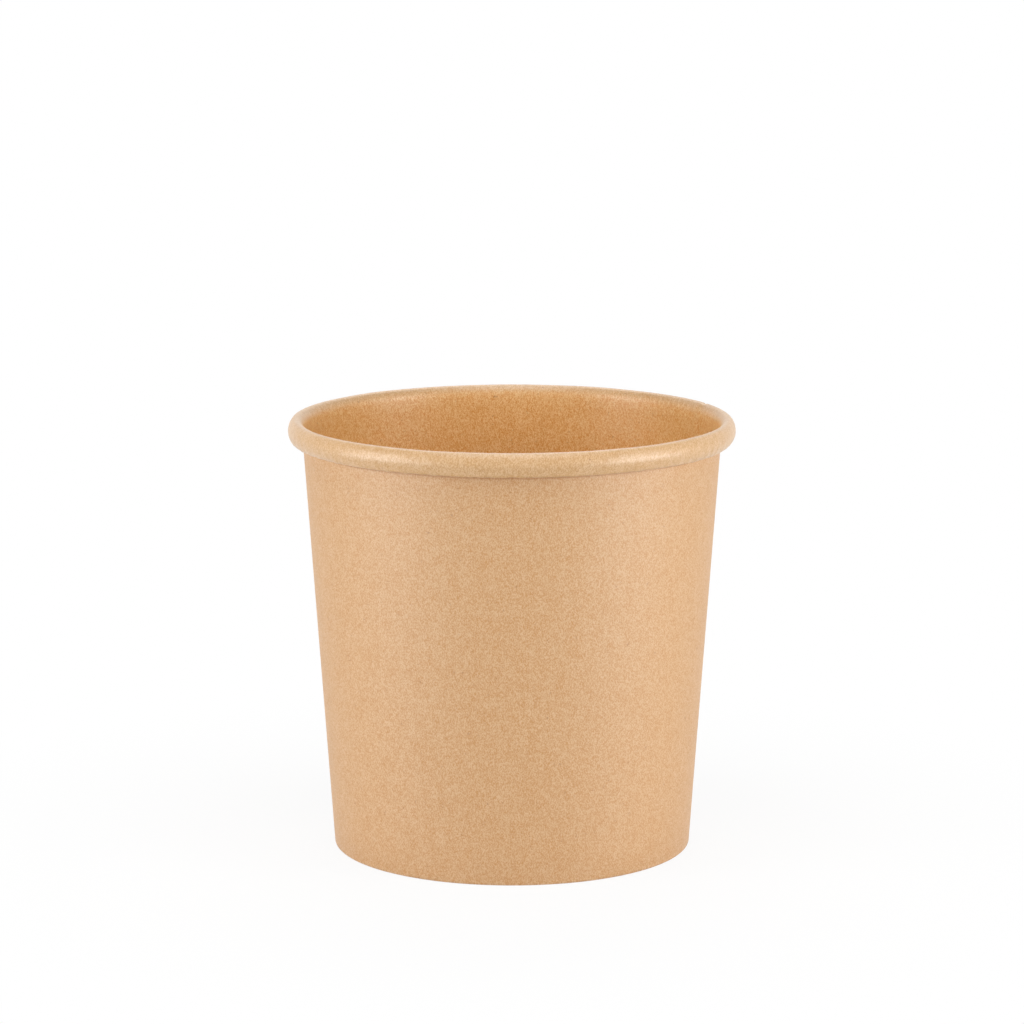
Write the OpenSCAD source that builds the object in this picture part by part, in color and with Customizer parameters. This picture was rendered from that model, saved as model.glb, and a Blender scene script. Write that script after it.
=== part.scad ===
// Open paper soup container: a kraft paperboard sidewall with a rolled rim,
// and a paperboard bottom held in the sidewall's hem.
// The origin is on the axis, at the height of the table. +Z is up and -Y is the front.

/* [Container] */
// Outside diameter over the rolled rim
rim_d = 98; // [92:0.5:112]
// Outside diameter at the bottom edge
base_d = 78.7; // [66:0.1:84]
// Height from the table to the crown of the rim
height = 95.2; // [60:0.2:140]

/* [Sidewall] */
// Thickness of the sidewall's board
wall_t = 0.45; // [0.3:0.05:0.5]
// Width of the side seam, where one end of the blank laps over the other
lap_w = 9; // [5:0.5:14]
// Middle of the side seam, in degrees from +X towards +Y
lap_at = 17; // [0:1:359]

/* [Rolled rim] */
// Width of the roll, from the inside of the wall to the outside of the rim
roll_w = 3.5; // [3:0.1:3.8]
// Height of the roll
roll_h = 5.2; // [4.8:0.1:6.5]
// Outside radius of the roll's crown
crown_r = 1.25; // [1.15:0.05:1.4]
// Space between the turns of the roll
turn_gap = 0.1; // [0.05:0.01:0.12]
// How far the tucked end of the board follows the crown, in degrees
tuck_turn = 60; // [10:5:100]

/* [Bottom] */
// Thickness of the bottom's board
bottom_t = 0.45; // [0.3:0.05:0.6]
// Height of the bottom's underside above the table
recess = 7.5; // [5:0.5:12]
// Outside radius of the bend where the bottom turns down into its skirt
bend_r = 0.9; // [0.7:0.05:1.5]
// How far the top of the hem stays below the bottom's underside
hem_drop = 1.2; // [1:0.1:3]
// Thickness of the sealing layer on each side of the bottom's skirt
seal_t = 0.05; // [0.03:0.01:0.1]
// Inside radius of the two corners where the board folds round into the hem
fold_in_r = 0.1; // [0.05:0.01:0.15]

/* [Hidden] */
KRAFT = "#d8b38c";
COATED_KRAFT = "#cda06c";
// Degrees of arc to each straight step of a section's outline
arc_step = 7.5;
$fn = 180;

// The roll's outline is an oval of four arcs: two crowns and two flatter flanks.
rim_r = rim_d / 2;
base_r = base_d / 2;
roll_c = [rim_r - roll_w / 2, height - roll_h / 2];
crown_c = roll_c + [0, roll_h / 2 - crown_r];
flank_off = ((roll_h / 2 - crown_r) ^ 2 - (roll_w / 2 - crown_r) ^ 2) / (roll_w - 2 * crown_r);
flank_r = roll_w / 2 + flank_off;
inner_flank_c = roll_c + [flank_off, 0];
outer_flank_c = roll_c - [flank_off, 0];
crown_half_turn = atan2(flank_off, roll_h / 2 - crown_r);

// The wall leans out by the angle at which its inner face runs smoothly into the roll's
// inner flank. A place on the section is a distance out across the wall and one up along it.
lean = acos((flank_r - wall_t) / norm(inner_flank_c - [base_r, 0]))
    - atan2(inner_flank_c[1], inner_flank_c[0] - base_r);
across = [cos(lean), -sin(lean)];
along = [sin(lean), cos(lean)];
function place(out, up) = out * across + up * along;
function up_at(out, z) = (z + out * sin(lean)) / cos(lean);

// Faces of the layers at the bottom edge, from the outside of the wall to the inside of the hem
wall_out = base_r * cos(lean);
wall_in = wall_out - wall_t;
skirt_out = wall_in - seal_t;
skirt_in = skirt_out - bottom_t;
hem_out = skirt_in - seal_t;
hem_in = hem_out - wall_t;
hem_up = up_at((hem_out + hem_in) / 2, recess - hem_drop);

// The fold stands on a narrow flat ring between its two corners.
fold_r = wall_t + fold_in_r;
fold_wall_c = place(wall_out - fold_r, up_at(wall_out - fold_r, fold_r));
fold_hem_c = place(hem_in + fold_r, up_at(hem_in + fold_r, fold_r));

// The roll's lower turn touches the wall, the outer flank and the height of the roll at once,
// which gives its radius as the root of a quadratic.
tuck_out = wall_out + turn_gap;
roll_z = height - roll_h;
tuck_x0 = (tuck_out + roll_z * sin(lean)) / cos(lean) - outer_flank_c[0];
tuck_x1 = (1 + sin(lean)) / cos(lean);
tuck_b = tuck_x0 * tuck_x1 + roll_z - outer_flank_c[1] + flank_r;
tuck_c0 = tuck_x0 ^ 2 + (roll_z - outer_flank_c[1]) ^ 2 - flank_r ^ 2;
tuck_r = (sqrt(tuck_b ^ 2 - tuck_x1 ^ 2 * tuck_c0) - tuck_b) / tuck_x1 ^ 2;
tuck_c = outer_flank_c + [tuck_x0 + tuck_x1 * tuck_r, roll_z - outer_flank_c[1] + tuck_r];
tuck_from = atan2(tuck_c[1] - outer_flank_c[1], tuck_c[0] - outer_flank_c[0]);

// Points of an arc about c, from angle a to angle b and at each whole step between, so that
// the extreme points of a round lie on its outline
function arc(c, r, a, b) =
    let (
        turn = sign(b - a),
        first = floor(turn * a / arc_step + 0.1) + 1,
        last = ceil(turn * b / arc_step - 0.1) - 1
    )
    [for (t = concat([a], [for (i = [first:last]) turn * i * arc_step], [b])) c + r * [cos(t), sin(t)]];

// One face of the sidewall's board, from the top of the hem, round the fold, up the wall and
// round the roll to the tucked end. side is 1 for the coated face and 0 for the outer face.
function board_face(side) =
    let (
        skin = (1 - side) * wall_t,
        second = wall_t + turn_gap + skin,
        hem = side == 1 ? hem_out : hem_in,
        fold = side == 1 ? fold_in_r : fold_r
    )
    concat(
        [place(hem, hem_up)],
        arc(fold_hem_c, fold, 180 - lean, 270),
        arc(fold_wall_c, fold, 270, 360 - lean),
        arc(inner_flank_c, flank_r - skin, 180 - lean, 90 + crown_half_turn),
        arc(crown_c, crown_r - skin, 90 + crown_half_turn, 90 - crown_half_turn),
        arc(outer_flank_c, flank_r - skin, 90 - crown_half_turn, tuck_from),
        arc(tuck_c, tuck_r - skin, tuck_from, -180 - lean),
        arc(inner_flank_c, flank_r - second, 180 - lean, 90 + crown_half_turn),
        arc(crown_c, crown_r - second, 90 + crown_half_turn, 90 + crown_half_turn - tuck_turn)
    );

function reversed(points) = [for (i = [len(points) - 1:-1:0]) points[i]];

// Outer end of the blank, one board thick over the wall from the fold up into the roll
lap_angle = lap_w / (PI * (rim_r + base_r)) * 360;
lap_foot = up_at(wall_out, fold_r);
lap_top = up_at(wall_out, roll_z + tuck_r / 2);

module side_seam() {
    rotate(lap_at - lap_angle / 2)
        rotate_extrude(angle = lap_angle)
            polygon([
                place(wall_out - wall_t / 2, lap_foot),
                place(wall_out + wall_t, lap_foot),
                place(wall_out + wall_t, lap_top),
                place(wall_out - wall_t / 2, lap_top)
            ]);
}

// One wrapped blank: hem, wall and rolled rim in a single board, with its side seam
module sidewall() {
    color(KRAFT) {
        rotate_extrude()
            polygon(concat(board_face(1), reversed(board_face(0))));
        side_seam();
    }
}

// Disc with its edge turned down into a skirt, which stands between the wall and the hem
module bottom_disc() {
    top = recess + bottom_t;
    bend_c = place(skirt_out - bend_r, up_at(skirt_out - bend_r, top - bend_r));
    skirt_foot = up_at(skirt_in, fold_r);
    color(COATED_KRAFT)
        rotate_extrude()
            polygon(concat(
                [[0, recess], [0, top]],
                arc(bend_c, bend_r, 90, -lean),
                [place(skirt_out, skirt_foot), place(skirt_in, skirt_foot)],
                arc(bend_c, bend_r - bottom_t, -lean, 90)
            ));
}

sidewall();
bottom_disc();
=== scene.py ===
"""Open kraft paper soup container: the wrapped board with its rolled rim, and the bottom in its hem.

Metres, origin on the axis at table height, +Z up and -Y the front, as in the CAD frame.
"""
import math

import bpy
import numpy as np
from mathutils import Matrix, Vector


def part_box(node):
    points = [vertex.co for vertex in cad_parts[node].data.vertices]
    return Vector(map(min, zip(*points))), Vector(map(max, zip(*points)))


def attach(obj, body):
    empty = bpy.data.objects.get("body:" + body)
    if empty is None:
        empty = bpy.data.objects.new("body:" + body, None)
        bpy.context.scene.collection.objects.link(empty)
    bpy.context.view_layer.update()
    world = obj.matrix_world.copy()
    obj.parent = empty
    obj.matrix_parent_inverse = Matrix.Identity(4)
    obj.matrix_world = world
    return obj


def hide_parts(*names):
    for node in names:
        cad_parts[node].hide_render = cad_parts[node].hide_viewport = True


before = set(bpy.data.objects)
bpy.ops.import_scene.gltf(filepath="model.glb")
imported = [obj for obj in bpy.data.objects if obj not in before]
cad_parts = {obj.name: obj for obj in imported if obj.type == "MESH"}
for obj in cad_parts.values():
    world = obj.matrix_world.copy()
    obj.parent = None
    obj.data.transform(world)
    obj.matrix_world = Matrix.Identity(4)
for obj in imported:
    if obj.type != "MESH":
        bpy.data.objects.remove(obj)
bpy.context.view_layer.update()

MM = 0.001
TURN = 2 * math.pi

# Sizes, as in the part's source
WALL_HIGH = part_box("sidewall")[1]
RIM_R = WALL_HIGH.x
HEIGHT = WALL_HIGH.z
BASE_R = 39.35 * MM
BOARD_T = 0.45 * MM
LAP_W = 9 * MM
LAP_AT = math.radians(17)
ROLL_W = 3.5 * MM
ROLL_H = 5.2 * MM
CROWN_R = 1.25 * MM
TURN_GAP = 0.1 * MM
TUCK_TURN = math.radians(60)
BOTTOM_T = 0.45 * MM
RECESS = 7.5 * MM
BEND_R = 0.9 * MM
HEM_DROP = 1.2 * MM
SEAL_T = 0.05 * MM
FOLD_IN_R = 0.1 * MM

# Step of the narrow bands on the wall under the roll, over which a painted shade of the crease under the
# roll's edge fades in
CREASE_SHADE_STEP = 0.35 * MM

# What the board does at its seam: the glue between the ends, the ways over which the outer end
# rises onto the inner one, the tucked end is cut back and the hem is lifted, how far up the wall
# the lift reaches, and the ribs that the knurling wheel leaves on the hem
GLUE_T = 0.02 * MM
LAP_RAMP = 2.6 * MM
TAIL_RAMP = 9 * MM
LIFT_RAMP = 4 * MM
LIFT_REACH = 9 * MM
RIB_COUNT = 179
RIB_DEPTH = 0.09 * MM

# Heights of the waves in the wall, the roll and the bottom, and the bottom's sag at its middle
WALL_WAVE = 0.05 * MM
ROLL_PLEAT = 0.016 * MM
ROLL_SWAY = 0.035 * MM
BOTTOM_SWELL = 0.05 * MM
BOTTOM_PLEAT = 0.012 * MM
BOTTOM_SAG = 0.35 * MM

# Columns of faces round each piece
SIDEWALL_COLUMNS = 740
BOTTOM_COLUMNS = 360


# The section of the board

def direction(angle):
    """Unit vector at an angle, or one for each angle of an array."""
    return np.stack([np.cos(angle), np.sin(angle)], -1)


def roll_shape():
    """Centres and radii of the oval roll: two crowns and two flatter flanks that touch smoothly."""
    centre = np.array([RIM_R - ROLL_W / 2, HEIGHT - ROLL_H / 2])
    rise = ROLL_H / 2 - CROWN_R
    off = (rise ** 2 - (ROLL_W / 2 - CROWN_R) ** 2) / (ROLL_W - 2 * CROWN_R)
    return {
        "crown": centre + [0, rise],
        "inner": centre + [off, 0],
        "outer": centre - [off, 0],
        "flank_r": ROLL_W / 2 + off,
        "half_turn": math.atan2(off, rise),
    }


ROLL = roll_shape()
REACH = ROLL["inner"] - [BASE_R, 0]
LEAN = math.acos((ROLL["flank_r"] - BOARD_T) / np.hypot(*REACH)) - math.atan2(REACH[1], REACH[0])
ACROSS = np.array([math.cos(LEAN), -math.sin(LEAN)])
ALONG = np.array([math.sin(LEAN), math.cos(LEAN)])
WALL_OUT = BASE_R * math.cos(LEAN)
WALL_IN = WALL_OUT - BOARD_T
SKIRT_OUT = WALL_IN - SEAL_T
SKIRT_IN = SKIRT_OUT - BOTTOM_T
HEM_OUT = SKIRT_IN - SEAL_T
FOLD_R = BOARD_T + FOLD_IN_R
MEAN_R = (RIM_R + BASE_R) / 2
LAP = LAP_W / MEAN_R


def place(out, up):
    """A point of the section: a distance out across the leaning wall, and one up along it."""
    return out * ACROSS + up * ALONG


def up_at(out, z):
    """How far up along the wall a point lies whose height above the table is z."""
    return (z + out * math.sin(LEAN)) / math.cos(LEAN)


def tuck_arc():
    """Centre, radius and first angle of the roll's lower turn. It touches the wall, the outer
    flank and the roll's lower height at once, so its radius is the root of a quadratic."""
    outer, flank_r = ROLL["outer"], ROLL["flank_r"]
    low = HEIGHT - ROLL_H
    x0 = (WALL_OUT + TURN_GAP + low * math.sin(LEAN)) / math.cos(LEAN) - outer[0]
    x1 = (1 + math.sin(LEAN)) / math.cos(LEAN)
    half_b = x0 * x1 + low - outer[1] + flank_r
    rest = x0 ** 2 + (low - outer[1]) ** 2 - flank_r ** 2
    radius = (math.sqrt(half_b ** 2 - x1 ** 2 * rest) - half_b) / x1 ** 2
    centre = outer + [x0 + x1 * radius, low - outer[1] + radius]
    return centre, radius, math.atan2(centre[1] - outer[1], centre[0] - outer[0])


def arc_run(centre, radius, first, last, count, facing=1):
    """Points on an arc at even angles, and for each the way its coated face looks: away from
    the centre, or towards it where facing is -1."""
    ray = direction(np.linspace(first, last, count))
    return centre + radius * ray, facing * ray


def board_section():
    """The coated face of the board, from the top of the hem, round the fold, up the wall and
    round the roll to its tucked end. Returns points, facings, the distance run along the face,
    and the names of the runs with their first point."""
    hem_top = up_at(HEM_OUT, RECESS - HEM_DROP)
    fold_hem = place(HEM_OUT + FOLD_IN_R, up_at(HEM_OUT + FOLD_IN_R, FOLD_R))
    fold_wall = place(WALL_OUT - FOLD_R, up_at(WALL_OUT - FOLD_R, FOLD_R))
    half, flank_r = ROLL["half_turn"], ROLL["flank_r"]
    tuck_c, tuck_r, tuck_from = tuck_arc()
    quarter = math.pi / 2
    second = BOARD_T + TURN_GAP
    hem_low = fold_hem - FOLD_IN_R * ACROSS
    wall_low = fold_wall + FOLD_IN_R * ACROSS
    wall_top = ROLL["inner"] - flank_r * ACROSS
    hem_steps = np.linspace(0, 1, 4)[:-1, None]
    inside_roll = wall_top[1] - (HEIGHT - ROLL_H)
    bands = (inside_roll + CREASE_SHADE_STEP * np.array([3, 2, 1, 0])) / (wall_top - wall_low)[1]
    wall_steps = np.concatenate([np.linspace(0, 0.93, 13)[1:], 1 - bands])[:, None]
    runs = [
        ("hem", (place(HEM_OUT, hem_top) * (1 - hem_steps) + hem_low * hem_steps,
                 np.repeat(ACROSS[None], 3, 0))),
        ("fold", arc_run(fold_hem, FOLD_IN_R, math.pi - LEAN, 3 * quarter, 4, -1)),
        ("foot", arc_run(fold_wall, FOLD_IN_R, 3 * quarter, TURN - LEAN, 4, -1)),
        ("wall", (wall_low * (1 - wall_steps) + wall_top * wall_steps,
                  np.repeat(-ACROSS[None], len(wall_steps), 0))),
        ("inner_flank", arc_run(ROLL["inner"], flank_r, math.pi - LEAN, quarter + half, 4)),
        ("crown", arc_run(ROLL["crown"], CROWN_R, quarter + half, quarter - half, 11)),
        ("outer_flank", arc_run(ROLL["outer"], flank_r, quarter - half, tuck_from, 8)),
        ("tuck", arc_run(tuck_c, tuck_r, tuck_from, -math.pi - LEAN, 11)),
        ("second_flank", arc_run(ROLL["inner"], flank_r - second, math.pi - LEAN, quarter + half, 3)),
        ("second_crown", arc_run(ROLL["crown"], CROWN_R - second, quarter + half,
                                 quarter + half - TUCK_TURN, 4)),
    ]
    points, facings, first = [], [], {}
    for name, (p, f) in runs:
        if points and np.allclose(points[-1][-1], p[0], atol=1e-9):
            p, f = p[1:], f[1:]
        first[name] = sum(len(q) for q in points)
        points.append(p)
        facings.append(f)
    points = np.concatenate(points)
    run = np.concatenate([[0], np.cumsum(np.hypot(*np.diff(points, axis=0).T))])
    return points, np.concatenate(facings), run, first


def ease(x, start, end):
    """0 before start, 1 after end and a smooth rise between them."""
    t = np.clip((x - start) / (end - start), 0, 1)
    return t * t * (3 - 2 * t)


# Small unevenness of real board

def ripples(angle, waves, seed):
    """A sum of sines round the axis. Each whole number of waves has its own share and, drawn
    from the seed, its own phase, so the ripple closes on itself."""
    draw = np.random.default_rng(seed)
    total = np.zeros_like(angle)
    for count, share in waves:
        total += share * np.sin(count * angle + draw.uniform(0, TURN))
    return total


# Pleats are most often about 96 to the turn, and the wall's waves are low and long
ROLL_WAVES = [(n, 1.0 / (1 + abs(n - 96) / 28)) for n in range(37, 180, 11)]
WALL_WAVES = [(n, 1.0 / n) for n in range(2, 12)]


def stand(angle, run, first):
    """How far the board stands off its even section, along its facing: low waves in the wall,
    and small pleats where the rim's outer half was gathered under as it was curled."""
    top, tuck = run[first["inner_flank"]], run[first["tuck"]]
    crown, flank = run[first["crown"]], run[first["outer_flank"]]
    s = run[None]
    in_roll = ease(s, top - 3 * MM, crown)
    gathered = ease(s, flank, tuck)
    a = angle[:, None]
    wall = WALL_WAVE * ripples(a + 0.02 * np.sin(s / (14 * MM)), WALL_WAVES, 3) * (1 - in_roll)
    upright = ease(s, run[first["foot"]], run[first["wall"]] + 12 * MM)
    pleats = ripples(a, ROLL_WAVES, 5) + 0.7 * ripples(a + s / (26 * MM), ROLL_WAVES, 8)
    sway = ripples(a, [(3, 0.6), (5, 0.5), (7, 0.5), (11, 0.4), (17, 0.3)], 13)
    return (wall * upright
            + ROLL_PLEAT * in_roll * (0.35 + gathered) * pleats
            + ROLL_SWAY * in_roll * sway)


# The two pieces as meshes

# Where the bottom was cut, far from the sidewall's blank on the flat board
OTHER_SHEET = (0.4, 0.1, 0.03)


def mesh_object(name, vertices, faces, material_of_face, materials, flat, rim_and_crease_shade):
    """One object from arrays, with the material of each face. For each vertex the attribute "flat" is
    its place on the flat board, and the other attribute is 1 where it takes the second tones: those of
    the roll on the coated face, and a painted shade of the crease under the roll on the bare face."""
    mesh = bpy.data.meshes.new(name)
    mesh.from_pydata(vertices.tolist(), [], faces)
    for material in materials:
        mesh.materials.append(material)
    mesh.polygons.foreach_set("material_index", np.asarray(material_of_face, np.int32))
    attribute = mesh.attributes.new("flat", "FLOAT_VECTOR", "POINT")
    attribute.data.foreach_set("vector", flat.astype(np.float32).ravel())
    attribute = mesh.attributes.new("rim_and_crease_shade", "FLOAT", "POINT")
    attribute.data.foreach_set("value", rim_and_crease_shade.astype(np.float32).ravel())
    mesh.polygons.foreach_set("use_smooth", np.ones(len(faces), bool))
    mesh.set_sharp_from_angle(angle=math.radians(40))
    mesh.update()
    piece = bpy.data.objects.new(name, mesh)
    bpy.context.scene.collection.objects.link(piece)
    return piece


def around(radius, z, angle):
    """Section points turned about the axis: x, y and z for each angle and point."""
    a = angle[:, None]
    return np.stack([radius * np.cos(a), radius * np.sin(a), np.broadcast_to(z, radius.shape)], -1)


def near_seam(turned, start, reach):
    """1 on the lap and 0 away from it along the wrapped blank, with a smooth change over reach
    on both sides of it. start is where the outer end begins to rise."""
    return ease(turned, start - reach, start) + 1 - ease(turned, LAP, LAP + reach)


def wrapped_sidewall(kraft, coated, core):
    """The blank wrapped clockwise once round and a lap further. At each angle the section stands
    off by the ripples; where the outer end lies over the inner one it moves one board away from
    the coated face. The fold is lifted by as much there, and the tucked end is cut back, as on
    the real blank, so that the roll isn't stuffed."""
    points, facings, run, first = board_section()
    turned = np.linspace(0, TURN + LAP, SIDEWALL_COLUMNS)
    azimuth = LAP_AT + LAP / 2 - turned
    rise = TURN - LAP_RAMP / MEAN_R
    lapped = ease(turned, rise, TURN)
    lifted = near_seam(turned, rise, LIFT_RAMP / MEAN_R)
    cut_back = near_seam(turned, rise, TAIL_RAMP / MEAN_R)

    tail_from, full = run[first["outer_flank"] + 4], run[-1]
    short = run[first["tuck"] + 4]
    share = np.clip((run - tail_from) / (full - tail_from), 0, None)[None]
    end = (full + (short - full) * cut_back)[:, None]
    at = np.where(run[None] > tail_from, tail_from + share * (end - tail_from), run[None])
    section = np.stack([np.interp(at, run, points[:, i]) for i in (0, 1)], -1)
    facing = np.stack([np.interp(at, run, facings[:, i]) for i in (0, 1)], -1)
    facing /= np.linalg.norm(facing, axis=-1, keepdims=True)

    off = stand(azimuth, run, first) - lapped[:, None] * (BOARD_T + GLUE_T)
    low = 1 - ease(run, run[first["wall"]], run[first["wall"]] + LIFT_REACH)
    lift = lifted[:, None] * low[None] * (BOARD_T + GLUE_T) / math.cos(LEAN)
    face = section + off[..., None] * facing + lift[..., None] * ALONG
    ribbed = 1 - ease(run, run[first["fold"]] - 2.2 * MM, run[first["fold"]])
    groove = 0.5 + 0.5 * np.sin(RIB_COUNT * azimuth)
    thick = BOARD_T - RIB_DEPTH * groove[:, None] * ribbed[None]
    back = face - thick[..., None] * facing

    count = len(run)
    both = np.concatenate([face, back[:, ::-1]], 1)
    vertices = around(both[..., 0], both[..., 1], azimuth).reshape(-1, 3)
    fan_turn = (turned - (TURN + LAP) / 2)[:, None] * math.sin(LEAN)
    slant = WALL_IN / math.tan(LEAN) + at - run[first["wall"]]
    blank = np.stack([slant * np.sin(fan_turn), slant * np.cos(fan_turn) - slant.min()], -1)
    flat = with_depth(blank)
    rolled = ease(at, run[first["inner_flank"]], run[first["crown"]])
    # On the bare face, a painted shade in the crease just under the roll's edge, fading in over the
    # narrow bands
    under = first["inner_flank"] - 3
    crease_shade_mask = ease(at, run[under], run[under + 2])
    rim_and_crease_shade = np.concatenate([rolled, crease_shade_mask[:, ::-1]], 1)

    loop = 2 * count
    column, k = np.meshgrid(np.arange(SIDEWALL_COLUMNS - 1), np.arange(loop), indexing="ij")
    after = (k + 1) % loop
    quads = np.stack([column * loop + k, column * loop + after,
                      (column + 1) * loop + after, (column + 1) * loop + k], -1).reshape(-1, 4)
    which = np.where(k < count - 1, 1, np.where((k == count - 1) | (k == loop - 1), 2, 0)).ravel()
    j = np.arange(count - 1)
    cap = np.stack([j, j + 1, loop - 2 - j, loop - 1 - j], -1)
    faces = np.concatenate([quads, cap[:, ::-1], cap + (SIDEWALL_COLUMNS - 1) * loop])
    which = np.concatenate([which, np.full(2 * (count - 1), 2)])
    if signed_volume(vertices, faces) < 0:
        faces = faces[:, ::-1]
    materials = [kraft, coated, core]
    return mesh_object("wrapped_sidewall", vertices, faces.tolist(), which, materials, flat, rim_and_crease_shade)


def with_depth(blank):
    """Places in the flat board for a loop of section points: the given ones at the depth of the
    coated face, and the same ones backwards at the depth of the bare face."""
    depth = np.zeros(blank.shape[:2] + (1,))
    coated_side = np.concatenate([blank, depth + BOARD_T], -1)
    bare_side = np.concatenate([blank[:, ::-1], depth], -1)
    return np.concatenate([coated_side, bare_side], 1).reshape(-1, 3)


def signed_volume(vertices, faces):
    """Volume inside the faces, negative where they look inwards."""
    a, b, c, d = (vertices[faces[:, i]] for i in range(4))
    return ((np.cross(a, b) * c).sum() + (np.cross(a, c) * d).sum()) / 6


def seam_lift(azimuth):
    """1 where the hem is lifted at the side seam, by azimuth, and 0 elsewhere."""
    away = np.abs((azimuth - LAP_AT + math.pi) % TURN - math.pi)
    start = LAP / 2 + (LIFT_RAMP + LAP_RAMP) / MEAN_R
    return 1 - ease(away, start, start + 1.5 * LIFT_RAMP / MEAN_R)


def bottom_section():
    """The coated face of the bottom, from near the centre out along the level disc, round the
    bend and down the skirt. Returns points, facings, the distance run, and the run of the bend."""
    top = RECESS + BOTTOM_T
    bend = place(SKIRT_OUT - BEND_R, up_at(SKIRT_OUT - BEND_R, top - BEND_R))
    foot = place(SKIRT_OUT, up_at(SKIRT_IN, FOLD_R))
    radii = np.concatenate([np.linspace(0.6, 33, 14), np.linspace(34.2, 36.4, 4)]) * MM
    level = np.stack([radii, np.full_like(radii, top)], -1)
    bend_points, bend_facings = arc_run(bend, BEND_R, math.pi / 2, -LEAN, 8)
    steps = np.linspace(0, 1, 6)[1:, None]
    skirt = bend_points[-1] * (1 - steps) + foot * steps
    points = np.concatenate([level, bend_points, skirt])
    facings = np.concatenate([np.tile([0.0, 1.0], (len(level), 1)), bend_facings,
                              np.tile(ACROSS, (len(skirt), 1))])
    run = points[0, 0] + np.concatenate([[0], np.cumsum(np.hypot(*np.diff(points, axis=0).T))])
    return points, facings, run, run[len(level)]


def seated_bottom(kraft, coated, core):
    """A disc turned down into a skirt, as a closed shell turned about the axis. The disc sags
    towards its middle, the bend and the skirt are gathered in fine pleats, and at the side seam
    the skirt ends higher, with the hem."""
    points, facings, run, bend_run = bottom_section()
    columns = BOTTOM_COLUMNS
    azimuth = np.arange(columns) * TURN / columns
    a, s, out = azimuth[:, None], run[None], points[None, :, 0]
    inside_bend = 1 - ease(s, bend_run - 3 * MM, bend_run)
    swell = ripples(a, [(2, 1.0), (3, 0.8), (5, 0.4)], 21) * ease(out, 4 * MM, 24 * MM) * inside_bend
    sag = BOTTOM_SWELL * swell - BOTTOM_SAG * (1 - ease(out, 0, 36 * MM))
    gathered = ease(s, bend_run - 1.5 * MM, bend_run + 0.8 * MM)
    gathered = gathered * (1 - ease(s, bend_run + 2 * MM, bend_run + 4 * MM))
    pleat = BOTTOM_PLEAT * ripples(a, [(60, 1.0), (83, 0.9), (104, 0.7), (131, 0.6)], 23) * gathered
    face = points[None] + (sag - np.abs(pleat))[..., None] * facings[None]
    on_skirt = ease(run, bend_run + 3 * MM, run[-1])
    lift = seam_lift(azimuth)[:, None] * on_skirt[None] * (BOARD_T + GLUE_T)
    face = face + lift[..., None] * ALONG
    back = face - BOTTOM_T * facings[None]

    count = len(run)
    both = np.concatenate([face, back[:, ::-1]], 1)
    ring = around(both[..., 0], both[..., 1], azimuth).reshape(-1, 3)
    poles = np.array([[0, 0, face[:, 0, 1].mean()], [0, 0, back[:, 0, 1].mean()]])
    vertices = np.concatenate([ring, poles])
    spread = direction(azimuth)[:, None] * run[None, :, None]
    flat = np.concatenate([with_depth(spread), [[0, 0, BOARD_T], [0, 0, 0]]]) + OTHER_SHEET

    loop = 2 * count
    column, k = np.meshgrid(np.arange(columns), np.arange(loop - 1), indexing="ij")
    beside = (column + 1) % columns
    quads = np.stack([column * loop + k, column * loop + k + 1,
                      beside * loop + k + 1, beside * loop + k], -1).reshape(-1, 4)
    which = np.where(k < count - 1, 1, np.where(k == count - 1, 2, 0)).ravel()
    if signed_volume(vertices, quads) < 0:
        quads = quads[:, ::-1]
    i = np.arange(columns)
    j = (i + 1) % columns
    top_fan = np.stack([np.full(columns, columns * loop), i * loop, j * loop], -1)
    low_pole = np.full(columns, columns * loop + 1)
    low_fan = np.stack([low_pole, (j + 1) * loop - 1, (i + 1) * loop - 1], -1)
    faces = quads.tolist() + top_fan.tolist() + low_fan.tolist()
    which = np.concatenate([which, np.ones(columns, int), np.zeros(columns, int)])
    materials = [kraft, coated, core]
    return mesh_object("seated_bottom", vertices, faces, which, materials, flat, np.zeros(len(vertices)))


# Materials

# How strong the soft clouds in the board's tone are beside its grain, and how far from its
# middle value the grain goes before the tone is fully dark or pale
CLOUDING = 0.2
CONTRAST_SPAN = 0.22


def colour(code):
    """An sRGB hex colour as the linear values that a shader takes."""
    parts = [int(code[i:i + 2], 16) / 255 for i in (1, 3, 5)]
    return [p / 12.92 if p <= 0.04045 else ((p + 0.055) / 1.055) ** 2.4 for p in parts] + [1.0]


def add(tree, kind, inputs=None, **settings):
    """Adds a node with its settings. inputs gives a socket a value, or the output or the node
    that is linked to it, where a node stands for its first output in use."""
    node = tree.nodes.new("ShaderNode" + kind)
    for name, value in settings.items():
        setattr(node, name, value)
    for socket, value in (inputs or {}).items():
        if isinstance(value, bpy.types.Node):
            value = next(output for output in value.outputs if output.enabled)
        if isinstance(value, bpy.types.NodeSocket):
            tree.links.new(value, node.inputs[socket])
        else:
            node.inputs[socket].default_value = value
    return node


def new_material(name):
    """An empty node material and its tree."""
    material = bpy.data.materials.new(name)
    material.use_nodes = True
    material.node_tree.nodes.clear()
    return material, material.node_tree


def fibres(tree, where, turn, width, length, seed, detail=2.0):
    """Noise drawn out along one way on the flat board, like fibres of that width and length."""
    placed = add(tree, "Mapping", {
        "Vector": where,
        "Location": (seed * 1.7, seed * 0.9, seed * 0.3),
        "Rotation": (0, 0, math.radians(turn)),
        "Scale": (1 / width, 1 / length, 1 / width),
    })
    return add(tree, "TexNoise", {"Vector": placed, "Scale": 1.0, "Detail": detail, "Roughness": 0.55})


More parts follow.
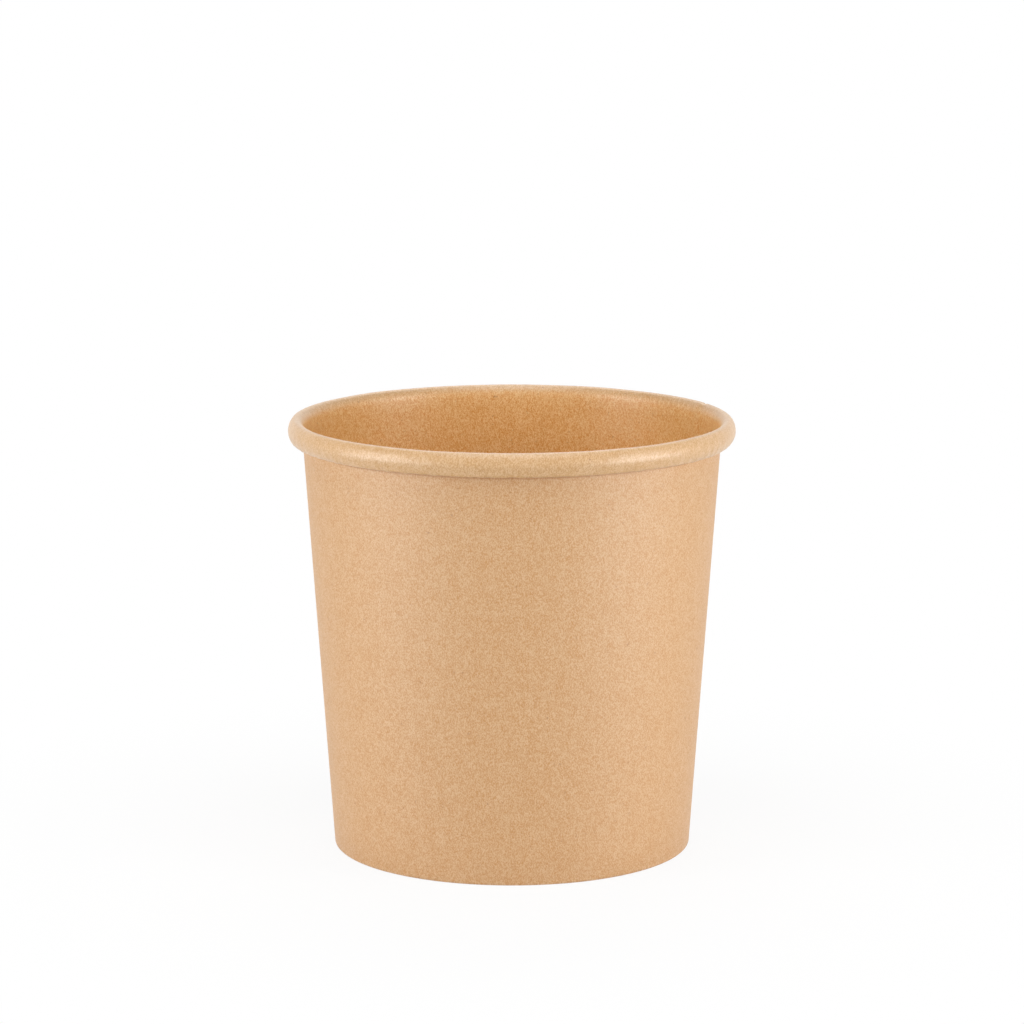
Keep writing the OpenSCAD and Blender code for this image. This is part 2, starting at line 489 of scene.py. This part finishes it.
def long_fibres(tree, where, tone, speck):
    """A few single dark fibres: thin lines where a slow noise crosses its middle value, kept
    only in some places."""
    wander = fibres(tree, where, 25, 1.5 * MM, 2.2 * MM, 5.2, 1.0)
    off_middle = add(tree, "Math", {0: wander, 1: 0.5}, operation="SUBTRACT")
    line = add(tree, "Math", {0: off_middle}, operation="ABSOLUTE")
    thin = add(tree, "MapRange", {"Value": line, "From Min": 0.004, "From Max": 0.014,
                                  "To Min": 0.6, "To Max": 0.0}, interpolation_type="SMOOTHSTEP")
    places = fibres(tree, where, 60, 1.1 * MM, 1.1 * MM, 11.3, 1.0)
    sparse = add(tree, "MapRange", {"Value": places, "From Min": 0.64, "From Max": 0.7},
                 interpolation_type="SMOOTHSTEP")
    strand = add(tree, "Math", {0: thin, 1: sparse}, operation="MULTIPLY")
    return add(tree, "Mix", {0: strand, 6: tone, 7: colour(speck)}, data_type="RGBA")


def bark_specks(tree, where, tone, speck):
    """Small dark dots of bark, one to some cells of a scattered pattern."""
    dots = add(tree, "TexVoronoi", {"Vector": where, "Scale": 1 / (3.4 * MM), "Randomness": 1.0})
    reach = add(tree, "MapRange", {"Value": dots.outputs["Color"], "From Min": 0.6, "From Max": 1.0,
                                   "To Min": 0.0, "To Max": 0.06}, interpolation_type="SMOOTHSTEP")
    dot = add(tree, "Math", {0: dots.outputs["Distance"], 1: reach}, operation="LESS_THAN")
    faint = add(tree, "Math", {0: dot, 1: 0.5}, operation="MULTIPLY")
    return add(tree, "Mix", {0: faint, 6: tone, 7: colour(speck)}, data_type="RGBA")


def board_material(name, tones, rim_and_crease_shade_tones, speck, clumping, roughness, relief_depth, ior, film):
    """Kraft board: short wood fibres pressed flat, most of them along the machine direction, so
    its tone is a fine crisp grain over soft clouds, with a few long dark fibres and bark specks.
    tones are the dark and the pale one of the grain, and the second pair is used where the mask of the
    rim is 1: paler tones on the roll, and on the bare face a painted shade, darker, in the crease under
    the roll's edge.
    clumping is how strongly the fibres lie in clumps, and film is how much of the board lies
    under its clear film."""
    material, tree = new_material(name)
    where = add(tree, "Attribute", attribute_name="flat").outputs["Vector"]
    rim_and_crease_shade = add(tree, "Attribute", attribute_name="rim_and_crease_shade").outputs["Fac"]
    grain = fibres(tree, where, 4, 0.15 * MM, 0.32 * MM, 1.3, 0.0)
    flock = fibres(tree, where, -6, 0.5 * MM, 1.4 * MM, 4.1, 1.0)
    cloud = fibres(tree, where, 0, 2.6 * MM, 3.4 * MM, 9.4)
    flocked = add(tree, "Math", {0: flock, 1: clumping, 2: grain}, operation="MULTIPLY_ADD")
    clouded = add(tree, "Math", {0: cloud, 1: CLOUDING, 2: flocked}, operation="MULTIPLY_ADD")
    middle = 0.5 * (1 + clumping + CLOUDING)
    shade = add(tree, "MapRange", {
        "Value": clouded, "From Min": middle - CONTRAST_SPAN, "From Max": middle + CONTRAST_SPAN,
    })
    level = add(tree, "Mix", {0: shade, 6: colour(tones[0]), 7: colour(tones[1])}, data_type="RGBA")
    # The second tones: paler on the roll, and on the bare face a painted shade of the crease under the
    # roll's edge
    curled = add(tree, "Mix", {0: shade, 6: colour(rim_and_crease_shade_tones[0]), 7: colour(rim_and_crease_shade_tones[1])},
                 data_type="RGBA")
    tone = add(tree, "Mix", {0: rim_and_crease_shade, 6: level.outputs[2], 7: curled.outputs[2]}, data_type="RGBA")
    tone = long_fibres(tree, where, tone, speck)
    tone = bark_specks(tree, where, tone, speck)

    normal = add(tree, "Bump", {"Height": flocked, "Distance": relief_depth, "Strength": 1.0})
    shader = add(tree, "BsdfPrincipled", {
        "Base Color": tone, "Roughness": roughness, "Normal": normal, "IOR": ior,
        "Coat Weight": film, "Coat Roughness": 0.38, "Coat IOR": 1.5,
    })
    add(tree, "OutputMaterial", {"Surface": shader})
    return material


def edge_material():
    """The board's cut edge: bare pulp in thin plies, paler and rougher than the pressed faces."""
    material, tree = new_material("cut_board_edge")
    where = add(tree, "Attribute", attribute_name="flat").outputs["Vector"]
    placed = add(tree, "Mapping", {"Vector": where, "Scale": (0.7 / MM, 0.7 / MM, 1 / (0.09 * MM))})
    plies = add(tree, "TexNoise", {"Vector": placed, "Scale": 1.0, "Detail": 2.0})
    shade = add(tree, "MapRange", {"Value": plies, "From Min": 0.35, "From Max": 0.65})
    tone = add(tree, "Mix", {0: shade, 6: colour("#b98a5c"), 7: colour("#dcb98f")}, data_type="RGBA")
    normal = add(tree, "Bump", {"Height": plies, "Distance": 0.05 * MM, "Strength": 1.0})
    shader = add(tree, "BsdfPrincipled", {
        "Base Color": tone, "Roughness": 0.85, "Normal": normal, "IOR": 1.5,
    })
    add(tree, "OutputMaterial", {"Surface": shader})
    return material


# Pressed outer face: bare kraft with a low, broad gloss from the hot rollers, and a thin line of painted
# shade in the crease under the roll's edge
pressed_kraft = board_material("pressed_kraft_board", ("#b98549", "#cda981"), ("#925b28", "#ab753f"),
                               "#94602f", 0.1, 0.5, 0.017 * MM, 1.7, 0.0)
# Inner face: the same board under a thin clear film, which deepens its brown and shines more.
# On the roll the tones are paler.
coated_kraft = board_material("film_coated_kraft_board", ("#d58e2e", "#f0cb8c"), ("#b6884b", "#cda97f"),
                              "#94602f", 0.35, 0.5, 0.015 * MM, 1.5, 1.0)
cut_edge = edge_material()

sidewall = wrapped_sidewall(pressed_kraft, coated_kraft, cut_edge)
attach(sidewall, "root")
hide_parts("sidewall")

bottom = seated_bottom(pressed_kraft, coated_kraft, cut_edge)
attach(bottom, "root")
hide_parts("bottom_disc")


# Stage, light and camera

def seen_directly(tree):
    """1 for a ray from the camera, a reflection or a clear piece, and 0 for soft bounced light."""
    path = add(tree, "LightPath")
    sharp = add(tree, "Math", {0: path.outputs["Is Glossy Ray"], 1: path.outputs["Is Transmission Ray"]},
                operation="MAXIMUM")
    return add(tree, "Math", {0: path.outputs["Is Camera Ray"], 1: sharp}, operation="MAXIMUM")


def floor_plane():
    """A level white floor. The camera sees it white, with a soft trace of the object's shadow
    close to the object."""
    half = 3.0
    mesh = bpy.data.meshes.new("floor")
    corners = [(-half, -half, 0), (half, -half, 0), (half, half, 0), (-half, half, 0)]
    mesh.from_pydata(corners, [], [(0, 1, 2, 3)])
    material, tree = new_material("white_floor")
    paper = add(tree, "BsdfDiffuse", {"Color": (0.9, 0.9, 0.9, 1)})
    white = add(tree, "Emission", {"Color": (1, 1, 1, 1), "Strength": 1.0})
    where = add(tree, "TexCoord").outputs["Object"]
    away = add(tree, "VectorMath", {0: where}, operation="LENGTH").outputs["Value"]
    whiteness = add(tree, "MapRange", {
        "Value": away, "From Min": 0.05, "From Max": 0.16, "To Min": FLOOR_WHITE, "To Max": 1.0,
    }, interpolation_type="SMOOTHSTEP")
    share = add(tree, "Math", {0: seen_directly(tree), 1: whiteness}, operation="MULTIPLY")
    choice = add(tree, "MixShader", {0: share, 1: paper, 2: white})
    add(tree, "OutputMaterial", {"Surface": choice})
    mesh.materials.append(material)
    floor = bpy.data.objects.new("floor", mesh)
    bpy.context.scene.collection.objects.link(floor)
    return floor


def soft_light(name, azimuth, elevation, distance, width, height, radiance):
    """A soft panel that looks at the middle of the object from an azimuth (0 is the front) and
    an elevation. A diffuse panel gives off radiance times pi times its area."""
    az, el = math.radians(azimuth), math.radians(elevation)
    aim = Vector((0, 0, 0.05))
    ray = Vector((math.sin(az) * math.cos(el), -math.cos(az) * math.cos(el), math.sin(el)))
    lamp = bpy.data.lights.new(name, "AREA")
    lamp.shape = "RECTANGLE"
    lamp.size = width
    lamp.size_y = height
    lamp.energy = radiance * math.pi * width * height
    panel = bpy.data.objects.new(name, lamp)
    panel.location = aim + ray * distance
    panel.rotation_euler = (-ray).to_track_quat("-Z", "Y").to_euler()
    bpy.context.scene.collection.objects.link(panel)
    return panel


def white_world(level):
    """White where the camera or a reflection sees it. As a light it gives only level, and here
    that is nothing: all the light on the object is from the panels."""
    world = bpy.data.worlds.new("white_surround")
    world.use_nodes = True
    tree = world.node_tree
    tree.nodes.clear()
    dim = add(tree, "Background", {"Color": (1, 1, 1, 1), "Strength": level})
    white = add(tree, "Background", {"Color": (1, 1, 1, 1), "Strength": 1.0})
    choice = add(tree, "MixShader", {0: seen_directly(tree), 1: dim, 2: white})
    add(tree, "OutputWorld", {"Surface": choice})
    bpy.context.scene.world = world


# Close to the object this share of the floor is plain white. The rest is lit and shows the shadow.
FLOOR_WHITE = 0.9
WORLD_LIGHT = 0.0
PANELS = [
    # name, azimuth from the front, elevation, distance, width, height, radiance
    ("left_strip", -66, 1.5, 0.5, 0.34, 0.12, 6.6),
    ("right_strip", 66, 1.5, 0.5, 0.36, 0.12, 7.6),
    ("left_panel", -68, 20, 0.95, 0.45, 0.4, 5.0),
    ("right_panel", 68, 20, 0.95, 0.45, 0.4, 4.6),
    ("front_panel", 0, 22, 1.3, 1.3, 0.9, 0.73),
    ("top_panel", 0, 75, 1.0, 0.8, 0.8, 2.95),
    ("back_panel", 180, 55, 1.0, 0.6, 0.5, 2.6),
]

floor_plane()
white_world(WORLD_LIGHT)
for panel in PANELS:
    soft_light(*panel)

# The photograph's camera: its lens, place and tilt follow from the fit to the outline
camera_data = bpy.data.cameras.new("camera")
camera_data.lens = 146.55
camera_data.sensor_width = 36
camera = bpy.data.objects.new("camera", camera_data)
camera.location = (0, -0.90128, 0.24050)
camera.rotation_euler = (math.pi / 2 - 0.1826, 0, 0)
bpy.context.scene.collection.objects.link(camera)
bpy.context.scene.camera = camera
bpy.context.scene.view_settings.view_transform = "Standard"
